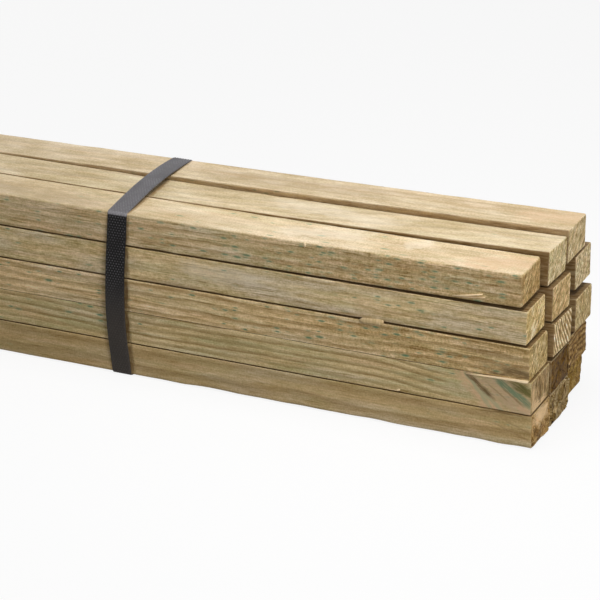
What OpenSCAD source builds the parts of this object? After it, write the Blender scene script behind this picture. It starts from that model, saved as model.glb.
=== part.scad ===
// Bundle of treated pine studs: fifteen sawn lengths, three wide and five high,
// held by two plastic straps. The strapped stretch is tight; past each strap
// the studs spread a little, and their ends are not flush.
// Length runs along X, the width along Y, up is Z. Units are millimetres.

/* [Studs] */
// Length of one stud
stud_l = 1800; // [900:10:3600]
// Width of one stud, lying on its broad face
stud_w = 40; // [30:1:70]
// Height of one stud as it lies
stud_h = 27; // [18:1:50]
// Radius of the eased long edges
edge_r = 2; // [1:0.5:5]

/* [Stack] */
// Clearance between neighbouring studs where the strap holds them
lay_gap = 0.3; // [0.1:0.1:0.8]
// Share of the listed end stagger that is used
stagger_share = 1; // [0:0.1:2]
// Share of the listed spread past the straps that is used
spread_share = 1; // [0:0.1:1.5]
// How late the spread opens: 1 opens it evenly, 2 mostly near the end
spread_power = 1.6; // [1:0.1:2.5]

/* [Straps] */
// Width of the strap
strap_w = 16; // [9:0.5:32]
// Thickness of the strap
strap_t = 0.8; // [0.4:0.1:1.5]
// Distance from the nominal stud end to the middle of the strap
strap_inset = 338; // [100:1:420]
// Length of the welded lap on the rear side
lap_l = 36; // [20:1:60]

/* [Finish] */
// Flat steps on each eased edge
edge_steps = 3; // [2:1:4]
// Straight steps along each spread end
bend_steps = 5; // [3:1:8]

/* [Hidden] */
ROW_NAMES = ["top", "upper", "centre", "lower", "bottom"];
COLUMN_NAMES = ["front", "middle", "rear"];
rows = len(ROW_NAMES);
columns = len(COLUMN_NAMES);

// How far each stud is pushed along X. One line a row from the top down,
// front to rear in each line.
stagger = [
    [-5.5, -0.5, 0.5],
    [-1.5, 3.5, 1.5],
    [1.5, 5.5, 5.5],
    [3.5, 4.5, 3],
    [4.5, 4.5, -1.5],
];
// How far each right-hand end is lifted out of the stack
lift = [
    [2.5, 3, 7.5],
    [1, 2, 7],
    [0, 1, 3.5],
    [0, 0, 1],
    [0, 0, 0],
];
// How far each right-hand end has drifted to the rear
drift = [
    [0, 2, 3],
    [0, 2, 15],
    [0, 2, 8],
    [0, 1, 5],
    [0, 1, 9],
];

column_pitch = stud_w + lay_gap;
row_pitch = stud_h + lay_gap;
bundle_w = columns * stud_w + (columns - 1) * lay_gap;
bundle_h = rows * stud_h + (rows - 1) * lay_gap;
strap_x = stud_l / 2 - strap_inset;
// The spread begins where the strap lets go
bend_x = strap_x + strap_w / 2;
pine = [0.80, 0.66, 0.44];
strap_grey = [0.16, 0.16, 0.17];
$fn = 48;

function stud_name(row, column) = str("stud_", ROW_NAMES[row], "_", COLUMN_NAMES[column]);

// Corner points of one stud's section, counted round from the lower rear edge
function section() = [
    for (corner = [0 : 3], step = [0 : edge_steps])
        let (
            turn = 90 * (corner + step / edge_steps) - 90,
            y_side = corner == 0 || corner == 1 ? 1 : -1,
            z_side = corner == 1 || corner == 2 ? 1 : -1
        )
        [
            y_side * (stud_w / 2 - edge_r) + edge_r * cos(turn),
            stud_h / 2 + z_side * (stud_h / 2 - edge_r) + edge_r * sin(turn),
        ]
];

// Share of the full spread at a station: none at the strap, all at the end
function spread_at(along) = spread_share * pow(along, spread_power);

// Stations along one stud: [place along X, spread on the left, spread on the right]
function stations(shift) = concat(
    [
        for (step = [bend_steps : -1 : 0])
            let (along = step / bend_steps)
            [-bend_x + along * (bend_x - stud_l / 2 + shift), spread_at(along), 0]
    ],
    [
        for (step = [0 : bend_steps])
            let (along = step / bend_steps)
            [bend_x + along * (stud_l / 2 + shift - bend_x), 0, spread_at(along)]
    ]
);

// One stud. The left end mirrors the spread of the stud across the bundle.
module stud(row, column) {
    across = columns - 1 - column;
    outline = section();
    count = len(outline);
    line = stations(stagger_share * stagger[row][column]);
    last = len(line) - 1;
    y_mid = (column - (columns - 1) / 2) * column_pitch;
    z_low = strap_t + (rows - 1 - row) * row_pitch;
    points = [
        for (s = line, p = outline)
            [
                s[0],
                y_mid + p[0] + s[2] * drift[row][column] - s[1] * drift[row][across],
                z_low + p[1] + s[2] * lift[row][column] + s[1] * lift[row][across],
            ]
    ];
    sides = [
        for (k = [0 : last - 1], i = [0 : count - 1])
            let (j = (i + 1) % count)
            [k * count + i, (k + 1) * count + i, (k + 1) * count + j, k * count + j]
    ];
    left_end = [for (i = [0 : count - 1]) i];
    right_end = [for (i = [count - 1 : -1 : 0]) last * count + i];
    color(pine)
        polyhedron(points, concat(sides, [left_end, right_end]), convexity = 4);
}

// A rectangle with round corners, standing on the X axis
module rounded(w, h, r) {
    translate([r - w / 2, 0])
        square([w - 2 * r, h]);
    translate([-w / 2, r])
        square([w, h - 2 * r]);
    for (side = [-1, 1], z = [r, h - r])
        translate([side * (w / 2 - r), z])
            circle(r);
}

// One strap: a band round the whole stack, with its lapped weld at the rear
module strap(side) {
    color(strap_grey)
        translate([side * strap_x - strap_w / 2, 0, 0])
            rotate([90, 0, 90])
                linear_extrude(strap_w) {
                    difference() {
                        rounded(bundle_w + 2 * strap_t, bundle_h + 2 * strap_t, edge_r + strap_t);
                        translate([0, strap_t])
                            rounded(bundle_w, bundle_h, edge_r);
                    }
                    translate([bundle_w / 2, strap_t + bundle_h / 2 - lap_l / 2])
                        square([2 * strap_t, lap_l]);
                }
}

for (row = [0 : rows - 1], column = [0 : columns - 1])
    stud(row, column);
strap(-1);  // strap_left
strap(1);  // strap_right
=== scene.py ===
import math
from dataclasses import dataclass

import bpy
import numpy as np
from mathutils import Matrix, Vector


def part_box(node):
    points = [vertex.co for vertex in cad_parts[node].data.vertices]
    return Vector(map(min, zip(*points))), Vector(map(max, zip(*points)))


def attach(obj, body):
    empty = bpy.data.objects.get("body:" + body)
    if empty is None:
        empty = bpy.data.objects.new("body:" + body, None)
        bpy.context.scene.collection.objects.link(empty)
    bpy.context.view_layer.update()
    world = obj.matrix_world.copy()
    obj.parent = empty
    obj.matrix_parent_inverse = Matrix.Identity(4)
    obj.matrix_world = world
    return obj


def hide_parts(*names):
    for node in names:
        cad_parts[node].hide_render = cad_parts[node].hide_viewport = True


bl_info = {
    "name": "Bundle of pine studs",
    "version": (1, 0, 0),
    "blender": (4, 5, 0),
    "location": "3D View > Sidebar > Timber",
    "description": "Treated pine studs in a strapped bundle, with grain, splinters and an embossed strap",
    "category": "Object",
}

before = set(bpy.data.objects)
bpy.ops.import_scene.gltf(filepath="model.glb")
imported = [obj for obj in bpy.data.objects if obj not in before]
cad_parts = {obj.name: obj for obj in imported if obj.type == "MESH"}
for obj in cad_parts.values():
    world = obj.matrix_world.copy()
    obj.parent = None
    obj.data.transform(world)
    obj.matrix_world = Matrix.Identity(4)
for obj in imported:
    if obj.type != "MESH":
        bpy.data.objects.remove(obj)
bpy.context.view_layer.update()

MM = 0.001
ROWS = ("top", "upper", "centre", "lower", "bottom")
COLUMNS = ("front", "middle", "rear")
STUDS = tuple(f"stud_{row}_{column}" for row in ROWS for column in COLUMNS)
STRAPS = ("strap_left", "strap_right")
# Section of a stud in millimetres, and where its top and front faces lie from its middle
STUD_WIDTH, STUD_HEIGHT = 40.0, 27.0
TOP_FACE, FRONT_FACE = STUD_HEIGHT / 2, -STUD_WIDTH / 2
# Place along where the right strap lets go, and the height of its outer face, in millimetres
STRAP_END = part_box("strap_right")[1].x / MM
STRAP_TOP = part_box("strap_right")[1].z / MM
# A place past every stud's end, for marks that a stud doesn't have
NOWHERE = 2000.0
# Corners of a stud's section, in the order that the sweep goes round
LOWER_REAR, UPPER_REAR, UPPER_FRONT, LOWER_FRONT = range(4)


@dataclass
class Timber:
    """How one stud was cut from its log, and how it has weathered. Lengths are in millimetres."""

    # Where the log's middle lay, to the rear of the stud's own middle and above it
    pith: tuple
    # Distance between the rings, how dark they are, and how far they stray
    ring: float
    contrast: float = 0.45
    wander: float = 3.5
    tint: tuple = (1.0, 1.0, 1.0)
    # Shares of the green cast and of the flecks of preservative
    green: float = 0.4
    flecks: float = 0.3
    end_tint: tuple = (1.0, 1.0, 1.0)
    end_rings: float = 0.4
    end_rough: float = 0.6
    # Saw lines across the end: how far they lean from level, in degrees, and how strong they are
    end_lean: float = 50.0
    end_lines: float = 0.9
    # Radius of the end's rim, and how far torn fibres stand out of the end
    end_round: float = 0.8
    ragged: float = 0.12
    # Radius of each long edge
    edges: tuple = (1.2, 1.2, 1.2, 1.2)
    # How much narrower than its neighbours the stud was planed: at the rear, on top, below and in front
    planed: tuple = (0.2, 0.1, 0.1, 0.0)
    # Stretch along which the rings dip, and how deep
    dip: tuple = (0.0, 1.0, 0.0)
    # Place from which the face is left rough by the saw, and how mottled it is
    rough_from: float = NOWHERE
    mottle: float = 0.5
    # Share of sun-bleached patches
    bleach: float = 0.4
    # Place from which a knot bends the fibres
    knot_from: float = NOWHERE
    # How far the rings run to the rear along the stud, per length
    run: float = 0.0
    # How clearly the fibres and pores show
    fine: float = 1.0
    # How much of the painted shade its inner faces take
    inner_painted_shade: float = 1.0


TIMBERS = {
    "stud_top_front": Timber(
        pith=(-8, -62), ring=6.4, contrast=0.5, wander=3.5, tint=(1.19, 1.16, 1.15), green=0.5,
        flecks=1.0, end_tint=(0.83, 0.73, 0.55), end_rings=0.3, end_round=2.2, edges=(1.0, 1.6, 1.5, 1.2),
        planed=(0.5, 0.0, 0.65, 0.0), rough_from=690, mottle=0.42,
    ),
    "stud_top_middle": Timber(
        pith=(70, -30), ring=11, contrast=0.5, wander=5.0, tint=(1.0, 1.02, 1.0), end_tint=(1.2, 1.2, 1.14),
        edges=(1.0, 1.2, 1.0, 1.0), run=0.17,
    ),
    "stud_top_rear": Timber(
        pith=(66, -34), ring=9.6, contrast=0.4, wander=3.0, tint=(0.98, 0.96, 0.95), green=0.25, flecks=0.15,
        end_tint=(1.18, 1.18, 1.10), edges=(1.0, 1.5, 1.0, 1.0), inner_painted_shade=0.75,
    ),
    "stud_upper_front": Timber(
        pith=(22, -44), ring=5.0, contrast=0.36, wander=6.0, tint=(1.24, 1.24, 1.15), green=0.45,
        flecks=0.3, end_tint=(1.1, 1.04, 0.88), end_rings=0.3, edges=(1.0, 2.4, 0.9, 1.0),
        planed=(0.3, 0.1, 0.55, 0.0), mottle=0.6, bleach=0.8,
    ),
    "stud_upper_middle": Timber(pith=(-40, 52), ring=3.6, end_tint=(1.12, 1.0, 0.80)),
    "stud_upper_rear": Timber(
        pith=(30, 60), ring=4.0, end_tint=(1.18, 1.18, 1.14), end_lean=62, end_lines=1.0,
        planed=(0.2, 0.1, 0.1, 4.0),
    ),
    "stud_centre_front": Timber(
        pith=(-26, -58), ring=6.4, contrast=0.78, wander=4.0, tint=(1.34, 1.30, 1.22), green=0.35,
        flecks=0.7, end_tint=(0.90, 0.89, 0.79), end_rings=0.35, edges=(1.0, 4.5, 0.9, 0.4),
        planed=(0.3, 0.2, 0.0, 0.0), rough_from=740, mottle=0.32,
    ),
    "stud_centre_middle": Timber(
        pith=(62, 42), ring=4.2, end_tint=(1.40, 1.40, 1.42), end_rings=2.4, end_rough=0.5, end_lean=118,
        end_lines=1.0,
    ),
    "stud_centre_rear": Timber(
        pith=(-50, -40), ring=3.9, end_tint=(1.0, 0.95, 0.78), planed=(0.2, 0.1, 0.1, 3.0),
    ),
    "stud_lower_front": Timber(
        pith=(-22, 58), ring=5.6, contrast=0.76, wander=3.0, tint=(1.11, 1.12, 1.00), green=0.7, fine=0.8,
        flecks=0.2, end_tint=(0.60, 0.50, 0.40), end_rings=0.4, end_rough=0.8, end_lean=84, end_lines=1.1,
        edges=(1.0, 1.0, 0.4, 0.6), planed=(0.2, 0.0, 0.45, 0.0), dip=(760, 880, 9), mottle=0.3,
        knot_from=840,
    ),
    "stud_lower_middle": Timber(
        pith=(40, -40), ring=4.0, end_tint=(0.21, 0.135, 0.036), end_rough=1.6, ragged=0.5,
    ),
    "stud_lower_rear": Timber(
        pith=(4, -66), ring=4.4, end_tint=(0.62, 0.49, 0.30), end_rings=1.6, end_rough=1.0, ragged=0.5,
    ),
    "stud_bottom_front": Timber(
        pith=(40, -60), ring=9.5, contrast=0.5, wander=5.0, tint=(0.92, 0.86, 0.70), green=0.3, fine=0.68,
        flecks=0.05, end_tint=(0.78, 0.64, 0.46), end_rough=1.2, end_round=1.0, edges=(1.5, 1.2, 0.6, 2.4),
        ragged=0.7, mottle=0.3,
    ),
    "stud_bottom_middle": Timber(
        pith=(-60, -20), ring=4.4, end_tint=(0.50, 0.43, 0.29), end_rough=1.3, end_lines=1.2, ragged=0.8,
    ),
    "stud_bottom_rear": Timber(
        pith=(20, 70), ring=4.2, end_tint=(0.54, 0.42, 0.18), end_rough=1.0, ragged=0.8,
    ),
}
# Studs that are loose in the strap: they rise in a straight line from this place to their right end
LOOSE_FROM = {"stud_top_rear": 360}
# Studs that have rolled past the strap: how far their front and rear sides rise at the right end
ROLLS = {"stud_top_middle": (2.0, 0.3), "stud_upper_middle": (2.2, 0.5), "stud_centre_middle": (2.0, 0.6)}


@dataclass
class Stroke:
    """A soft streak of colour on one face of a stud: most are stains, some are painted shadows and
    highlights.
    """

    face: str
    # Places on the face: (along, up) on the front, (along, rear) on the top, (rear, up) on the right end
    start: tuple
    finish: tuple
    width: float
    colour: tuple
    strength: float


STREAK_PINK = (0.80, 0.52, 0.31)
STREAK_ROSE = (0.64, 0.45, 0.275)
STREAK_BROWN = (0.16, 0.10, 0.04)
STREAK_TEAL = (0.18, 0.27, 0.15)
STREAK_OLIVE = (0.19, 0.17, 0.05)
STREAK_SAGE = (0.48, 0.46, 0.26)
STREAK_PEACH = (1.0, 0.70, 0.38)
STREAK_DARK = (0.16, 0.09, 0.03)
STREAK_UMBER = (0.34, 0.21, 0.09)
STREAK_CREAM = (0.95, 0.83, 0.65)
STREAK_BLUSH = (0.74, 0.485, 0.28)
STREAK_DUN = (0.38, 0.28, 0.165)
STREAK_MOSS = (0.13, 0.12, 0.03)

STROKES = {
    "stud_top_front": (
        # Painted highlights of the sheen on the top face
        Stroke("top", (690, -4), (765, 8), 12, STREAK_CREAM, 0.6),
        Stroke("top", (792, 0), (814, 16), 8, STREAK_CREAM, 0.5),
        Stroke("top", (380, -6), (560, -6), 22, STREAK_DUN, 0.45),
        Stroke("top", (846, -14), (910, 10), 16, STREAK_BLUSH, 0.6),
        # Painted shadow beside the strap's right edge, on the top and on the front
        Stroke("top", (572, -20), (570, 20), 2.4, STREAK_UMBER, 0.8),
        Stroke("front", (571.5, 14), (570, -14), 2.6, STREAK_DARK, 0.8),
        Stroke("front", (893, 10), (896, -10), 3.0, STREAK_UMBER, 0.5),
    ),
    "stud_top_middle": (
        # Painted highlight of the sheen on the top face
        Stroke("top", (660, 8), (780, -6), 12, STREAK_CREAM, 0.45),
        # Painted shadow beside the strap's right edge
        Stroke("top", (570, -22), (567, 22), 3.4, STREAK_UMBER, 0.9),
    ),
    "stud_top_rear": (
        # Painted shadow beside the strap's right edge
        Stroke("top", (567, -22), (568, 22), 2.6, STREAK_UMBER, 0.8),
        Stroke("top", (850, 2), (910, 6), 15, STREAK_BLUSH, 0.5),
        Stroke("top", (585, -2), (760, 2), 15, STREAK_DUN, 0.3),
        Stroke("top", (600, -7), (905, -9), 2.2, STREAK_UMBER, 0.3),
        Stroke("top", (560, 3), (905, 2), 2.6, STREAK_UMBER, 0.35),
        Stroke("top", (700, 11), (905, 12), 2.4, STREAK_UMBER, 0.3),
    ),
    "stud_upper_front": (
        Stroke("front", (612, 4), (690, 2), 9, STREAK_CREAM, 0.4),
        Stroke("front", (735, -12.6), (800, -12.2), 2.0, STREAK_UMBER, 0.6),
        Stroke("front", (820, -12.6), (890, -12.2), 1.8, STREAK_UMBER, 0.6),
        Stroke("front", (580, -11), (640, -12.4), 2.6, STREAK_UMBER, 0.45),
        # Painted shadow beside the strap's right edge
        Stroke("front", (570, 16), (569, -16), 3.0, STREAK_DARK, 0.85),
    ),
    "stud_centre_front": (
        # Painted shadow beside the strap's right edge
        Stroke("front", (568.6, 16), (568.2, -16), 3.4, STREAK_DARK, 0.9),
        Stroke("front", (850, 5), (910, 1), 3.0, STREAK_UMBER, 0.4),
        Stroke("front", (858, -4.5), (912, -6), 4.6, STREAK_UMBER, 0.6),
        Stroke("front", (880, -6.5), (914, -8.5), 3.6, STREAK_BROWN, 0.85),
        Stroke("front", (866, -10.6), (912, -11.4), 1.4, STREAK_BROWN, 0.9),
    ),
    "stud_lower_front": (
        # Painted shadow beside the strap's right edge
        Stroke("front", (568.2, 16), (569.4, -16), 3.4, STREAK_DARK, 0.9),
        Stroke("front", (844, 18), (880, -18), 8, STREAK_PINK, 0.75),
        Stroke("front", (866, 18), (904, -18), 14, STREAK_ROSE, 0.85),
        Stroke("front", (850, 15), (874, -15), 2.0, STREAK_SAGE, 0.85),
        Stroke("front", (861, 3), (884, -16), 2.0, STREAK_SAGE, 0.8),
        Stroke("front", (851, 14), (875, -5), 2.3, STREAK_BROWN, 0.95),
        Stroke("front", (872, 15), (908, -9), 3.6, STREAK_TEAL, 0.9),
        Stroke("front", (886, 12.5), (908, 3), 4.2, STREAK_OLIVE, 0.85),
        Stroke("front", (892, 10), (908, 0), 4.0, STREAK_MOSS, 0.85),
        Stroke("front", (880, 6), (898, -7), 1.0, STREAK_UMBER, 0.8),
        Stroke("front", (868, 8), (886, -5), 0.9, STREAK_UMBER, 0.6),
        Stroke("front", (893, -7), (908, -14), 2.6, STREAK_PINK, 0.7),
        Stroke("end", (-16, 10), (-13, -14), 5.0, STREAK_PEACH, 0.75),
        Stroke("end", (-16, -9), (14, -12), 5.0, STREAK_PEACH, 0.85),
        Stroke("end", (-4, 14), (2, -14), 2.2, STREAK_DARK, 0.7),
        Stroke("end", (8, 14), (12, -12), 2.0, STREAK_DARK, 0.6),
    ),
    "stud_bottom_front": (
        # Painted shadow beside the strap's right edge
        Stroke("front", (570, 16), (572.5, -16), 3.0, STREAK_DARK, 0.85),
        Stroke("front", (862, 12), (898, 12.6), 0.9, STREAK_BROWN, 0.8),
        Stroke("front", (872, 4), (910, -9), 1.2, STREAK_UMBER, 0.5),
        Stroke("front", (880, 8), (910, -3), 1.0, STREAK_UMBER, 0.5),
        Stroke("end", (-16, 9), (18, 4), 7.0, STREAK_PEACH, 0.95),
        Stroke("end", (-10, 8), (14, 6), 6.0, STREAK_PEACH, 0.95),
        Stroke("end", (-14, 0), (4, -12), 4.5, STREAK_DARK, 0.75),
    ),
}


@dataclass
class Sliver:
    """A torn strip that stands off the front face: (along, up, height, stand) at each point."""

    points: tuple
    # How fresh the tear is, from weathered to bright
    fresh: float = 1.0


SLIVERS = {
    "stud_top_front": (
        Sliver(
            ((840, -10.8, 0.5, 0.3), (848, -9.6, 1.0, 0.9), (856, -8.0, 1.1, 1.7), (864, -6.0, 0.5, 2.4)),
        ),
        Sliver(
            ((842, -10.9, 0.5, 0.2), (850, -10.4, 0.9, 0.6), (858, -9.4, 1.0, 1.0), (866, -8.4, 0.4, 1.3)),
        ),
        Sliver(((720.6, 11.4, 2.4, 0.2), (721.4, 11.2, 4.6, 0.5), (722.4, 11.4, 3.0, 0.2))),
    ),
    "stud_centre_front": (
        Sliver(
            (
                (766, 12.8, 2.0, 0.2),
                (769, 13.2, 4.4, 0.6),
                (776, 13.5, 5.0, 0.7),
                (782, 13.8, 5.2, 0.7),
                (785.5, 14.0, 4.2, 0.3),
            ),
            fresh=0.22,
        ),
    ),
    "stud_lower_front": (
        Sliver(
            (
                (852, 11.9, 0.4, 0.3),
                (862, 12.6, 0.9, 1.0),
                (874, 13.2, 1.2, 1.6),
                (888, 13.8, 1.4, 2.2),
                (901, 14.1, 1.6, 2.6),
            )
        ),
        Sliver(
            (
                (789, -12.3, 0.4, 0.2),
                (795, -12.1, 0.8, 0.6),
                (798.6, -11.4, 2.0, 0.6),
                (799.6, -11.2, 0.8, 0.2),
            ),
            fresh=0.7,
        ),
    ),
}

# Places where a long edge is broken: corner, place along, length and depth
CHIPS = {
    "stud_top_front": ((UPPER_FRONT, 785, 7, 1.6), (LOWER_FRONT, 600, 22, 0.9)),
    "stud_upper_front": ((LOWER_FRONT, 776, 24, 0.6), (UPPER_FRONT, 512, 26, 0.9)),
    "stud_centre_front": ((LOWER_FRONT, 880, 34, 1.4), (UPPER_FRONT, 800, 18, 0.4)),
    "stud_lower_front": ((LOWER_FRONT, 798, 8, 1.8), (UPPER_FRONT, 690, 30, 0.7)),
    "stud_bottom_front": ((UPPER_FRONT, 878, 26, 1.5), (LOWER_FRONT, 640, 40, 1.0)),
}


# Sockets of a Mix node that mixes colours: its factor, both colours and its result
MIX_FACTOR, MIX_FIRST, MIX_SECOND, MIX_RESULT = 0, 6, 7, 2
# Shading of wood: the darkest factor, and the powers by which it takes green and blue
DARKEST, GREEN_POWER, BLUE_POWER = 0.04, 1.2, 1.8


class Field:
    """A shader socket with arithmetic: an expression on fields adds its Math nodes."""

    def __init__(self, tree, socket=None):
        self.tree = tree
        self.socket = socket

    def make(self, kind, settings=None, sockets=None, output=0):
        """Adds any other node: its settings first, then the values or links of its sockets."""
        node = self.tree.nodes.new(kind)
        for name, value in (settings or {}).items():
            setattr(node, name, value)
        for key, value in (sockets or {}).items():
            if isinstance(value, Field):
                self.tree.links.new(value.socket, node.inputs[key])
            else:
                node.inputs[key].default_value = value
        return Field(self.tree, node.outputs[output])

    def output(self, name):
        """Another output of the same node."""
        return Field(self.tree, self.socket.node.outputs[name])

    def math(self, operation, *values):
        """Adds a Math node."""
        return self.make("ShaderNodeMath", {"operation": operation}, dict(enumerate(values)))

    def __add__(self, other):
        return self.math("ADD", self, other)

    __radd__ = __add__

    def __sub__(self, other):
        return self.math("SUBTRACT", self, other)

    def __rsub__(self, other):
        return self.math("SUBTRACT", other, self)

    def __mul__(self, other):
        return self.math("MULTIPLY", self, other)

    __rmul__ = __mul__

    def __truediv__(self, other):
        return self.math("DIVIDE", self, other)

    def __abs__(self):
        return self.math("ABSOLUTE", self)

    def __pow__(self, other):
        return self.math("POWER", self, other)

    def smooth(self, low, high):
        """0 below low, 1 above high, with a soft step between."""
        sockets = {"Value": self, "From Min": low, "From Max": high}
        return self.make("ShaderNodeMapRange", {"interpolation_type": "SMOOTHSTEP"}, sockets)

    def tinted(self, factor):
        """A colour made lighter or darker by a value."""
        return self.make("ShaderNodeVectorMath", {"operation": "SCALE"}, {0: self, "Scale": factor})

    def multiplied(self, other):
        """This colour times another one."""
        settings = {"data_type": "RGBA", "blend_type": "MULTIPLY"}
        sockets = {MIX_FACTOR: 1.0, MIX_FIRST: self, MIX_SECOND: other}
        return self.make("ShaderNodeMix", settings, sockets, MIX_RESULT)

    def shaded(self, factor):
        """A colour made lighter or darker as wood is: what darkens it takes the blue first."""
        factor = self.math("MAXIMUM", factor, DARKEST)
        sockets = {"Red": factor, "Green": factor ** GREEN_POWER, "Blue": factor ** BLUE_POWER}
        return self.multiplied(self.make("ShaderNodeCombineColor", None, sockets))

    def mixed(self, other, factor):
        """This colour going over to another one."""
        sockets = {MIX_FACTOR: factor, MIX_FIRST: self, MIX_SECOND: other}
        return self.make("ShaderNodeMix", {"data_type": "RGBA"}, sockets, MIX_RESULT)


def rgba(colour, tint=(1.0, 1.0, 1.0)):
    """A colour times a tint, with full alpha."""
    return (*(c * t for c, t in zip(colour, tint)), 1.0)


# Noises of the wood: length and width of a patch in millimetres, shift, detail and roughness
WANDER = (240, 70, 1.3)
RIPPLE = (48, 16, 5.1)
BREAKS = (70, 6, 2.9)
CROWDS = (120, 18, 3.9, 1.0)
FIBRES = (50, 1.9, 2.2, 3.0, 0.6)
PORES = (8, 1.0, 6.4)
PATCHES = (26, 6, 7.7)
CLOUDS = (150, 28, 8.8)
STAINS = (70, 7, 4.6, 3.0)
WARMTH = (46, 5, 11.2, 3.0)
BLEACHING = (80, 12, 15.4)
SPECKS = (2.4, 2.4, 7.3, 2.0, 0.6)
MOTTLE = (7, 3.2, 12.5, 3.0, 0.6)
CHATTER = (2.0, 7, 13.1, 3.0)
FUZZ = (1.4, 1.2, 17.7, 1.0)
BLOTS = (34, 16, 18.2)
VESSELS = (24, 0.9, 16.3, 1.0)
BLOTCHES = (6, 6, 1.9)
# Cells that hold one fleck each: length, width and shift
FLECK_CELLS = (9, 2.6, 9.7)
# Ragged rims and streaks in a stroke of colour, and saw lines on an end: length and width
STROKE_RIMS = (7, 4)
STROKE_STREAKS = (9, 1.1)
SAW_LINES = (8, 1.2)
# Stretches, in millimetres, over which a rough face and a knot begin
ROUGH_FADE, KNOT_FADE = 60.0, 12.0
# Depths below a face, in millimetres, between which the painted shade on its inner faces ends: above and
# below, and in front
LEVEL_SKIN, FRONT_SKIN = (0.03, 0.14), (0.3, 1.3)
# Depth of the fine relief of the wood and of the strap, in millimetres
WOOD_RELIEF, STRAP_RELIEF = 0.35, 0.05
# Seed of the first stud's noises, and the step to the next one's
FIRST_SEED, SEED_STEP = 0.4, 3.7


class Grain:
    """The straightened coordinates of one stud, in millimetres, and the noises that follow its fibres."""

    def __init__(self, tree, seed):
        self.sheet = Field(tree)
        place = self.sheet.make("ShaderNodeAttribute", {"attribute_name": "grain"}, output="Vector")
        parts = self.sheet.make("ShaderNodeSeparateXYZ", None, {0: place})
        self.along = parts.output("X") / MM
        self.rear = parts.output("Y") / MM
        self.up = parts.output("Z") / MM
        self.seed = seed

    def stretched(self, length, width, shift=0.0):
        """A vector in which a patch of that length and width is one unit across."""
        offset = self.seed + shift
        sockets = {
            "X": self.along / length + offset,
            "Y": self.rear / width + offset,
            "Z": self.up / width - offset,
        }
        return self.sheet.make("ShaderNodeCombineXYZ", None, sockets)

    def noise(self, length, width, shift=0.0, detail=2.0, roughness=0.5):
        """Noise centred on 0 whose patches run along the grain."""
        sockets = {
            "Vector": self.stretched(length, width, shift),
            "Scale": 1.0,
            "Detail": detail,
            "Roughness": roughness,
        }
        return self.sheet.make("ShaderNodeTexNoise", None, sockets) - 0.5

    def streaks(self, lengthwise, sideways, size, seed):
        """Noise about 0.5 in streaks of that length and width."""
        sockets = {"X": lengthwise / size[0], "Y": sideways / size[1], "Z": seed}
        lie = self.sheet.make("ShaderNodeCombineXYZ", None, sockets)
        return self.sheet.make("ShaderNodeTexNoise", None, {"Vector": lie, "Scale": 1.0, "Detail": 2.0})

    def mask(self, name):
        """A value stored on the mesh's points."""
        return self.sheet.make("ShaderNodeAttribute", {"attribute_name": name}, output="Fac")


def growth_rings(grain, timber):
    """Dark late wood of each year's ring, from 0 to 1."""
    wander = grain.noise(*WANDER) * (4 * timber.wander)
    ripple = grain.noise(*RIPPLE) * (1.1 * timber.wander)
    start, finish, depth = timber.dip
    from_pith_rear = grain.rear - (grain.along - STRAP_END) * timber.run - timber.pith[0]
    from_pith_up = grain.up + grain.along.smooth(start, finish) * depth - timber.pith[1]
    radius = (from_pith_rear * from_pith_rear + from_pith_up * from_pith_up) ** 0.5
    year = (radius + wander + ripple) / timber.ring
    place = grain.sheet.math("FRACT", year)
    number = grain.sheet.math("FLOOR", year)
    vigour = grain.sheet.make("ShaderNodeTexWhiteNoise", {"noise_dimensions": "1D"}, {"W": number})
    band = place.smooth(0.20, 0.80) * (1 - place.smooth(0.84, 1.0))
    broken = 1 + 1.4 * grain.noise(*BREAKS)
    calm = 1 - 0.85 * grain.along.smooth(timber.knot_from - KNOT_FADE, timber.knot_from + KNOT_FADE)
    return band * (0.4 + 0.6 * vigour) * broken * calm


def treatment_flecks(grain, timber):
    """Dashes of preservative in the pores, most of them where the face is rough, and their halo."""
    upright = 1 - 0.8 * grain.up.smooth(TOP_FACE - 0.9, TOP_FACE - 0.1)
    rough = grain.along.smooth(timber.rough_from - ROUGH_FADE, timber.rough_from + ROUGH_FADE / 3)
    rough = (0.45 + 0.55 * rough) * upright
    cells = grain.sheet.make(
        "ShaderNodeTexVoronoi",
        {"feature": "F1"},
        {"Vector": grain.stretched(*FLECK_CELLS), "Scale": 1.0},
    )
    draw = grain.sheet.make("ShaderNodeSeparateColor", None, {0: cells.output("Color")})
    bar = 1 - 0.5 * rough
    chosen = draw.output("Red").smooth(bar, bar + 0.05) * (0.45 + 0.55 * draw.output("Green"))
    sparse = 0.12 - 0.34 * timber.flecks
    chosen = chosen * grain.noise(*CROWDS).smooth(sparse, sparse + 0.1)
    distance = cells * (0.65 + 0.7 * draw.output("Blue"))
    return (1 - distance.smooth(0.14, 0.34)) * chosen, (1 - distance.smooth(0.2, 0.6)) * chosen


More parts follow.
